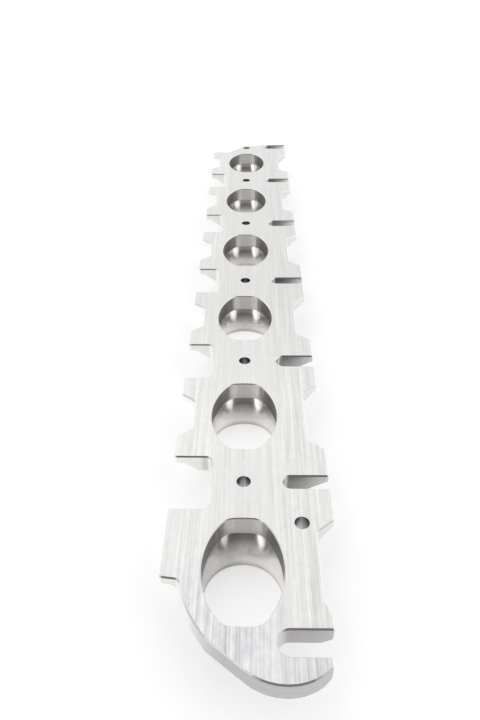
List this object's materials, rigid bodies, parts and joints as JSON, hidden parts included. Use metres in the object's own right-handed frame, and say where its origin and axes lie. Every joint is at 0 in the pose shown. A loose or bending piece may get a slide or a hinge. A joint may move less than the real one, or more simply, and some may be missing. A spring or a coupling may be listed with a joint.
{
  "type": "manifold flange",
  "caption": "Long flat head flange for an inline engine's manifold, with oval ports that run into short round stubs, bolt holes and open stud slots.",
  "frame": {"origin": "on the head face, at the axis of the middle bolt hole of the centre line", "axes": "+Y along the row of ports, away from the rounded nose; +X towards the side with the open stud slots; +Z out of the head face"},
  "size_m": [0.073, 0.5542, 0.023],
  "materials": {
    "machined_aluminium": "machined, with fine tool lines along the length"
  },
  "bodies": {
    "root": {"manifold_flange": "machined_aluminium"}
  },
  "joints": []
}
